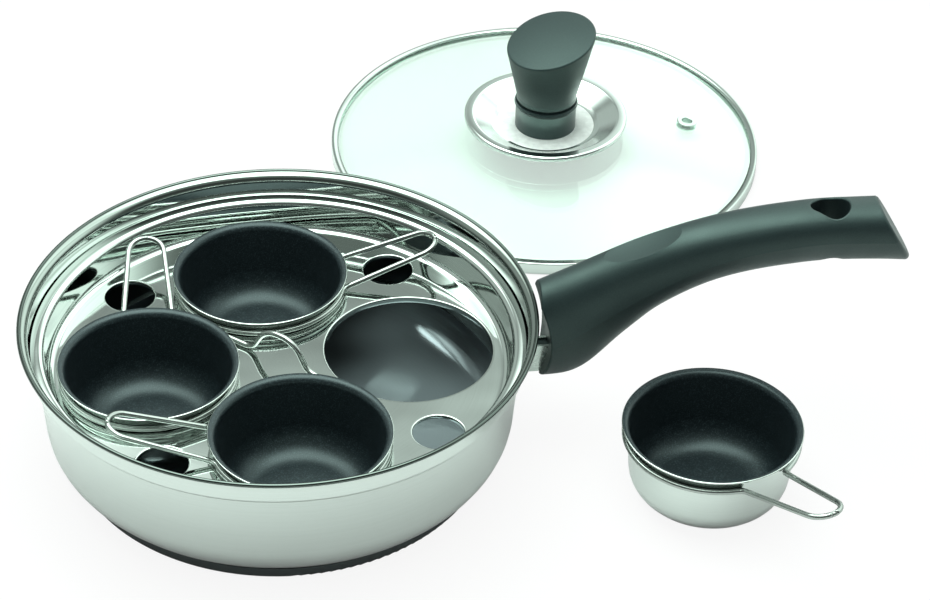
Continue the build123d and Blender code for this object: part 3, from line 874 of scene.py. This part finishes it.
@dataclass
class Tray:
    """The pressed tray with its seats, steam holes and wire lifter."""

    steps: int = 256
    floor: float = 40.7
    sheet: float = 0.8
    flat_radius: float = 92.4
    outline: Profile = ((92.4, 40.7), (96.27, 40.7), (97.57, 54.5), (102.9, 54.5))
    bends: Bends = ((1, 3.0), (2, 2.6))
    seat_turn: float = 4.4
    seat_offset: float = 55.0
    seat_radius: float = 35.6
    seat_flange: float = 2.6
    seat_segments: int = 160
    steam_offset: float = 80.0
    steam_radius: float = 10.7
    steam_flange: float = 1.6
    steam_segments: int = 72
    hole_round: float = 0.55
    lifter_wire: float = 2.5
    lifter_reach: float = 30.0
    lifter_foot: float = 14.5
    lifter_crown: float = 7.2
    lifter_height: float = 15.2
    lifter_gap: float = 0.05
    lifter_bends: tuple[float, ...] = (6.0, 11.0, 11.0, 6.0)

    def circle(self, mesh: BMesh, centre: Vector, radius: float, segments: int) -> list[BMEdge]:
        """Draw a circle at the height of the tray's floor.

        Args:
            mesh: The mesh.
            centre: Centre in millimetres.
            radius: Radius in millimetres.
            segments: Edges round the circle.

        Returns:
            The circle's edges.
        """
        at = Matrix.Translation((centre.x * MM, centre.y * MM, self.floor * MM))
        ring = bmesh.ops.create_circle(mesh, cap_ends=False, segments=segments, matrix=at,
                                       radius=radius * MM)
        return list(dict.fromkeys(edge for vert in ring["verts"] for edge in vert.link_edges))

    def turn_down(self, mesh: BMesh, hole: Hole, edges: list[BMEdge]) -> None:
        """Draw a hole's edge in to its size, turn it down and round the bend.

        Args:
            mesh: The mesh.
            hole: The hole.
            edges: The circle round the hole.
        """
        shrink = hole.radius / (hole.radius + 2 * self.hole_round)
        middle = Matrix.Translation((-hole.centre.x * MM, -hole.centre.y * MM, -self.floor * MM))
        bend: list[BMEdge] = []
        for number in range(2):
            made = bmesh.ops.extrude_edge_only(mesh, edges=edges)["geom"]
            verts = [item for item in made if isinstance(item, BMVert)]
            fresh = set(verts)
            edges = [item for item in made if isinstance(item, BMEdge)
                     and item.verts[0] in fresh and item.verts[1] in fresh]
            if number == 0:
                bmesh.ops.scale(mesh, vec=(shrink, shrink, 1.0), space=middle, verts=verts)
                bend = edges
            else:
                bmesh.ops.translate(mesh, verts=verts, vec=(0.0, 0.0, -hole.flange * MM))
        bmesh.ops.bevel(mesh, geom=bend, offset=self.hole_round * MM, offset_type="OFFSET",
                        segments=5, profile=0.5, affect="EDGES", material=-1)

    def flat(self) -> BMesh:
        """Build the tray's flat floor with its holes.

        Returns:
            The mesh.
        """
        mesh = bmesh.new()
        holes = []
        for number in range(4):
            seat = polar(self.seat_offset, self.seat_turn + QUARTER * number)
            steam = polar(self.steam_offset, self.seat_turn + QUARTER / 2 + QUARTER * number)
            holes.append(Hole(seat, self.seat_radius, self.seat_flange, self.seat_segments))
            holes.append(Hole(steam, self.steam_radius, self.steam_flange, self.steam_segments))
        circles = [self.circle(mesh, hole.centre, hole.radius + 2 * self.hole_round, hole.segments)
                   for hole in holes]
        rim = self.circle(mesh, Vector(ORIGIN), self.flat_radius, self.steps)
        bmesh.ops.triangle_fill(mesh, use_beauty=True, use_dissolve=False, normal=(0, 0, 1),
                                edges=rim + [edge for circle in circles for edge in circle])
        for hole, circle in zip(holes, circles):
            self.turn_down(mesh, hole, circle)
        return mesh

    def plate(self) -> None:
        """Build the tray's sheet: the flat floor inside a turned wall and rim."""
        mesh = self.flat()
        wall = bmesh.new()
        draw_chain(wall, self.outline, self.bends)
        turn_chain(wall, self.steps)
        turned = bpy.data.meshes.new("tray_wall")
        wall.to_mesh(turned)
        wall.free()
        mesh.from_mesh(turned)
        bpy.data.meshes.remove(turned)
        settle(mesh, FAR_BELOW)
        steel = TurnedSteel("tray steel", "tray_steel", sheen=Sheen.MIRROR, line_depth=0.0002,
                            streak_depth=0.0015, wave_size=34.0, wave_depth=0.30)
        piece = make_piece("tray_sheet", mesh, "tray", steel, ["tray_plate"])
        give_wall(piece, self.sheet)
        piece.modifiers.new("level", "WEIGHTED_NORMAL").keep_sharp = True

    def lifter(self) -> None:
        """Bend the wire lifter."""
        foot = self.floor + self.lifter_wire / 2 + self.lifter_gap
        crown = self.floor + self.lifter_height - self.lifter_wire / 2
        reach = ((-self.lifter_reach, foot), (-self.lifter_foot, foot),
                 (-self.lifter_crown, crown), (self.lifter_crown, crown),
                 (self.lifter_foot, foot), (self.lifter_reach, foot))
        points = [polar(along, self.seat_turn - QUARTER / 2) + Vector((0, 0, height))
                  for along, height in reach]
        wire = BentWire(self.lifter_wire, False)
        wire.run(points, self.lifter_bends)
        place_piece("lifter", wire.curve("lifter"), "tray", wire_steel("lifter wire", ORIGIN),
                    ["tray_lifter"])

    def build(self) -> None:
        """Build the tray and its lifter."""
        self.plate()
        self.lifter()


@dataclass
class EggCup:
    """One cup: steel shell, dark coating and wire handle."""

    number: int
    centre: Spot
    loop_turn: float
    steps: int = 160
    height: float = 35.0
    outline: Profile = ((0.0, 0.0), (32.7, 0.0), (35.3, 33.2), (37.8, 35.0))
    bends: Bends = ((1, 14.0), (2, 2.0))
    wall: float = 0.6
    lining: float = 0.3
    wire_size: float = 2.4
    ring_radius: float = 36.286
    ring_height: float = 29.7
    ring_pieces: int = 10
    leave_angle: float = 22.04
    root_run: float = 3.2
    root_bend: float = 3.6
    tip_reach: float = 77.0
    tip_rise: float = 13.9
    tip_width: float = 14.0
    tip_bend: float = 7.8

    def shell(self, inset: float = 0.0) -> BMesh:
        """Turn the cup's outer surface, or one that lies inside it, in its place.

        Args:
            inset: Distance from the outer surface in millimetres.

        Returns:
            The mesh.
        """
        mesh = bmesh.new()
        draw_chain(mesh, self.outline, self.bends, segments=10)
        turn_chain(mesh, self.steps)
        settle(mesh, (0.0, 0.0, self.height))
        if inset:
            sink(mesh, inset)
        bmesh.ops.translate(mesh, verts=mesh.verts[:], vec=Vector(self.centre) * MM)
        return mesh

    def build(self) -> None:
        """Build the shell, the coating and the wire."""
        name = f"cup_{self.number}"
        steel = TurnedSteel(f"{name} steel", "cup_steel", self.centre, streak_depth=0.004,
                            streak_width=2.0)
        piece = make_piece(f"{name}_steel", self.shell(), name, steel, [f"{name}_shell"])
        give_wall(piece, self.wall)
        coat = SpeckledCoating(f"{name} coating", "cup_coating", self.centre)
        piece = make_piece(f"{name}_coating", self.shell(self.wall), name, coat,
                           [f"{name}_lining"])
        give_wall(piece, self.lining)
        self.wire()

    def wire(self) -> None:
        """Bend the wire: a ring under the lip that ends in a long loop."""
        ring = Vector((0.0, 0.0, self.ring_height))
        leave = polar(self.ring_radius, self.leave_angle) + ring
        angle = math.radians(self.leave_angle)
        root = leave + Vector((math.sin(angle), -math.cos(angle), 0.0)) * self.root_run
        tip = Vector((self.tip_reach, self.tip_width / 2, self.ring_height + self.tip_rise))
        other = Matrix.Diagonal((1.0, -1.0, 1.0))
        wire = BentWire(self.wire_size, True)
        wire.arc(ring, self.ring_radius, self.leave_angle, 360 - self.leave_angle,
                 self.ring_pieces)
        repeated = len(wire.knots)
        wire.run([other @ leave, other @ root, other @ tip, tip, root, leave],
                 (self.root_bend, self.tip_bend, self.tip_bend, self.root_bend))
        turn = Matrix.Rotation(math.radians(self.loop_turn), 3, "Z")
        wire.knots = [tuple(turn @ point + Vector(self.centre) for point in knot)
                      for knot in wire.knots]
        # The run starts and ends on knots that the ring already has.
        del wire.knots[repeated], wire.knots[-1]
        name = f"cup_{self.number}"
        place_piece(f"{name}_handle", wire.curve(f"{name}_handle"), f"wire_{self.number}",
                    wire_steel(f"{name} wire", self.centre), [f"{name}_wire"])


@dataclass
class Handle:
    """The moulded grip on its steel bracket."""

    def build(self) -> None:
        """Dress the handle's nodes."""
        dress("handle_grip", GrainedPlastic("grip plastic", "handle_black"))
        dress("handle_bracket", PlainStock("bracket steel", "pan_steel",
                                           colour=(0.55, 0.62, 0.58), roughness=0.25))
        dress("handle_screw", PlainStock("screw steel", "fastener", colour=(0.55, 0.58, 0.58)))


@dataclass(frozen=True)
class TurnedSheet:
    """A sheet turned round an axis, by its outer line and a point that it faces away from."""

    line: Profile
    bends: Bends
    thickness: float
    heart: Spot


@dataclass
class Lid:
    """The glass lid with its band, vent, guard plate and knob."""

    centre: Spot = (145.4, 207.5, 0.0)
    steps: int = 256
    band: TurnedSheet = TurnedSheet(
        line=((101.0, 0.0), (104.2, 0.0), (104.2, 6.2), (101.0, 6.2)),
        bends=((1, 0.7), (2, 0.7)), thickness=0.8, heart=(0.0, 0.0, 3.1))
    plate: TurnedSheet = TurnedSheet(
        line=((2.9, 15.2), (24.84, 15.2), (35.24, 21.4), (39.6, 21.4), (39.6, 19.2)),
        bends=((1, 7.4), (2, 2.0), (3, 1.4)), thickness=0.6, heart=FAR_BELOW)
    level_height: float = 0.1

    def turn_sheet(self, name: str, sheet: TurnedSheet, node: str, finish: Finish,
                   level: Finish | None = None) -> None:
        """Turn a sheet round the lid's axis.

        Args:
            name: Name of the piece.
            sheet: The sheet.
            node: The CAD node that it replaces.
            finish: Its finish.
            level: Another finish for its level floor; the plate's is painted light, a pale copy of
                its steel.
        """
        mesh = bmesh.new()
        draw_chain(mesh, sheet.line, sheet.bends)
        turn_chain(mesh, self.steps)
        settle(mesh, sheet.heart)
        if level is not None:
            floor = min(vert.co.z for vert in mesh.verts) + self.level_height * MM
            for face in mesh.faces:
                face.material_index = int(face.calc_center_median().z < floor)
        bmesh.ops.translate(mesh, verts=mesh.verts[:], vec=Vector(self.centre) * MM)
        piece = make_piece(name, mesh, "lid", finish, [node])
        if level is not None:
            piece.data.materials.append(level.material())
        give_wall(piece, sheet.thickness)

    def build(self) -> None:
        """Build the band and the plate, and dress the rest."""
        self.turn_sheet("lid_ring", self.band, "lid_band",
                        TurnedSteel("band steel", "lid_steel", self.centre,
                                    tint=(0.50, 0.545, 0.52)))
        self.turn_sheet("knob_guard", self.plate, "knob_plate",
                        TurnedSteel("plate steel", "lid_steel", self.centre, wave_depth=0.0,
                                    tint=(0.66, 0.71, 0.685), streak_depth=0.0),
                        # The plate's level floor is painted light: a near-white, mostly diffuse
                        # copy of its steel that stands in for a bright reflection.
                        PlainStock("plate floor painted light", "lid_steel", self.centre, metallic=0.25,
                                   colour=(0.86, 0.89, 0.87), roughness=0.55))
        dress("lid_glass", LidGlass("lid glass", "lid_glass", self.centre))
        dress("vent_eyelet", PlainStock("eyelet steel", "lid_steel", colour=(0.60, 0.66, 0.63),
                                        roughness=0.18))
        dress("knob_gasket", PlainStock("seal rubber", "gasket", colour=(0.55, 0.60, 0.57),
                                        metallic=0.0, roughness=0.5))
        dress("knob_grip", GrainedPlastic("knob plastic", "knob_black", self.centre))
        dress("knob_collar", GrainedPlastic("collar plastic", "knob_black", self.centre,
                                            roughness=(0.33, 0.40)))
        dress("knob_insert", PlainStock("insert brass", "insert_brass", colour=(0.62, 0.47, 0.20)))
        dress("lid_washer", PlainStock("washer plastic", "knob_black", colour=(0.02, 0.026, 0.03),
                                       metallic=0.0, roughness=0.4))
        dress("lid_screw", PlainStock("lid screw steel", "fastener", colour=(0.55, 0.58, 0.58)))


# The studio

@dataclass
class Studio:
    """Camera, lamp, world and floor."""

    eye: Spot = (-62.77, -939.57, 783.67)
    down: float = 37.002
    heading: Spot = (0.98902, -0.14781, 0.0)
    roll: float = 1.829
    lens: float = 110.4
    sensor: float = 36.0
    sight: float = 20.0
    ambient: float = 0.3
    cast: Colour = (0.87, 1.0, 0.935)
    back_stops: Profile = ((0.0, 0.3), (0.10, 0.5), (0.25, 1.0), (0.52, 1.0), (0.60, 0.62),
                           (0.66, 1.3), (1.0, 0.8))
    back_fade: Span = (-0.45, 0.15)
    side_levels: Span = (0.64, 2.2)
    side_fade: Span = (0.08, 0.30)
    front_stops: Profile = ((0.0, 0.5), (0.08, 0.2), (0.25, 0.1), (0.5, 0.1), (0.66, 0.3),
                            (0.85, 0.4), (1.0, 0.4))
    lamp_spot: Spot = (-0.1, 0.24, 1.25)
    lamp_aim: Spot = (0.05, 0.05, 0.03)
    lamp_size: Span = (1.5, 2.15)
    lamp_power: float = 68.0
    lamp_edge: Profile = ((0.0, 0.0), (0.3, 1.0), (0.7, 1.0), (1.0, 0.0))
    floor_radius: float = 4.0
    floor_drop: float = 0.0002
    floor_shade: float = 0.78
    floor_roughness: float = 0.9
    floor_glow: dict[str, float] = field(default_factory=lambda: {
        "Camera": 0.9, "Transmission": 0.66, "Glossy": 0.1})

    def camera(self) -> None:
        """Set the camera where the photograph was taken from."""
        right = Vector(self.heading).normalized()
        level = Vector((-right.y, right.x, 0.0))
        tilt = math.radians(self.down)
        ahead = level * math.cos(tilt) - Vector((0, 0, math.sin(tilt)))
        above = right.cross(ahead)
        lean = math.radians(self.roll)
        across = right * math.cos(lean) + above * math.sin(lean)
        over = above * math.cos(lean) - right * math.sin(lean)
        data = bpy.data.cameras.new("camera")
        data.sensor_width = self.sensor
        data.lens = self.lens
        data.clip_end = self.sight
        camera = bpy.data.objects.new("camera", data)
        turn = Matrix((across, over, -ahead)).transposed().to_4x4()
        camera.matrix_world = Matrix.Translation(Vector(self.eye) * MM) @ turn
        bpy.context.scene.collection.objects.link(camera)
        bpy.context.scene.camera = camera

    def lamp(self) -> None:
        """Hang the rectangular lamp, which fades towards its edges."""
        data = bpy.data.lights.new("key", "AREA")
        data.shape = "RECTANGLE"
        data.size, data.size_y = self.lamp_size
        data.energy = self.lamp_power
        data.color = self.cast
        data.use_nodes = True
        nodes = Nodes(data.node_tree)
        place = nodes.feed(nodes.add("SeparateXYZ"),
                           Vector=nodes.add("NewGeometry").outputs["Parametric"])
        across, along = (nodes.ramp(place.outputs[side], self.lamp_edge, soft=True)
                         for side in "XY")
        nodes.feed(nodes.tree.nodes["Emission"],
                   Strength=nodes.calculate("MULTIPLY", across, along))
        lamp = bpy.data.objects.new("key", data)
        lamp.location = self.lamp_spot
        way = Vector(self.lamp_aim) - Vector(self.lamp_spot)
        lamp.rotation_euler = way.to_track_quat("-Z", "Y").to_euler()
        bpy.context.scene.collection.objects.link(lamp)

    def world(self) -> None:
        """Light the scene evenly, and show tones to metal and glass and white to the camera."""
        world = bpy.data.worlds.new("studio")
        world.use_nodes = True
        nodes = Nodes(world.node_tree)
        even = nodes.feed(nodes.tree.nodes["Background"], Color=WHITE, Strength=self.ambient)
        way = nodes.feed(nodes.add("SeparateXYZ"),
                         Vector=nodes.add("TexCoord").outputs["Generated"]).outputs
        front = nodes.ramp(way["Z"], self.front_stops, self.cast)
        back = nodes.add("VectorMath", operation="SCALE")
        nodes.feed(back, {0: nodes.ramp(way["Z"], self.back_stops, self.cast)},
                   Scale=nodes.spread(way["X"], *self.side_levels, *self.side_fade, soft=True))
        behind = nodes.spread(way["Y"], 0.0, 1.0, *self.back_fade, soft=True)
        tones = nodes.feed(nodes.add("Background"),
                           Color=nodes.shade(behind, front, back.outputs["Vector"]))
        white = nodes.feed(nodes.add("Background"), Color=WHITE)
        shown = nodes.blend(nodes.rays(Glossy=1.0, Transmission=1.0), even, tones)
        shown = nodes.blend(nodes.rays(Camera=1.0), shown, white)
        nodes.feed(nodes.tree.nodes["World Output"], Surface=shown.outputs["Shader"])
        bpy.context.scene.world = world

    def floor(self) -> None:
        """Lay a white floor that keeps a soft shadow."""
        mesh = bmesh.new()
        bmesh.ops.create_circle(mesh, cap_ends=True, radius=self.floor_radius, segments=64,
                                matrix=Matrix.Translation((0.0, 0.0, -self.floor_drop)))
        data = bpy.data.meshes.new("floor")
        mesh.to_mesh(data)
        mesh.free()
        floor = bpy.data.objects.new("floor", data)
        bpy.context.scene.collection.objects.link(floor)
        recipe = Recipe("white floor")
        recipe.feed(recipe.shader, Base_Color=(*(self.floor_shade,) * 3, 1.0),
                    Roughness=self.floor_roughness)
        glow = recipe.feed(recipe.add("Emission"), Color=WHITE)
        recipe.cover(recipe.blend(recipe.rays(**self.floor_glow), recipe.shader, glow))
        data.materials.append(recipe.material)

    def build(self) -> None:
        """Set up the whole studio."""
        bpy.context.scene.view_settings.view_transform = "Standard"
        self.camera()
        self.world()
        self.floor()
        self.lamp()


# Where the cups stand, in millimetres, and how far their loops are turned, in degrees.
SEATED_CUP_HEIGHT = 12.5
SEATED_LOOP_TURNS = (4.6, 88.2, 177.4)
LOOSE_CUP_SPOT = (175.2, -52.0, 0.0)
LOOSE_LOOP_TURN = -63.8


def cups(tray: Tray) -> list[EggCup]:
    """Give the three seated cups and the loose one.

    Args:
        tray: The tray that holds the seated cups.

    Returns:
        The cups in the order of their numbers.
    """
    seated = []
    for number, turn in enumerate(SEATED_LOOP_TURNS, 1):
        spot = polar(tray.seat_offset, tray.seat_turn + QUARTER * number)
        seated.append(EggCup(number, (spot.x, spot.y, SEATED_CUP_HEIGHT), turn))
    return seated + [EggCup(len(seated) + 1, LOOSE_CUP_SPOT, LOOSE_LOOP_TURN)]


def main() -> None:
    """Build every sub-assembly in order."""
    logging.basicConfig(level=logging.INFO, format="%(message)s")
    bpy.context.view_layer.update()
    tray = Tray()
    for part in (Pan(), tray, *cups(tray), Handle(), Lid(), Studio()):
        part.build()
    bpy.context.view_layer.update()


if __name__ == "__main__":
    main()
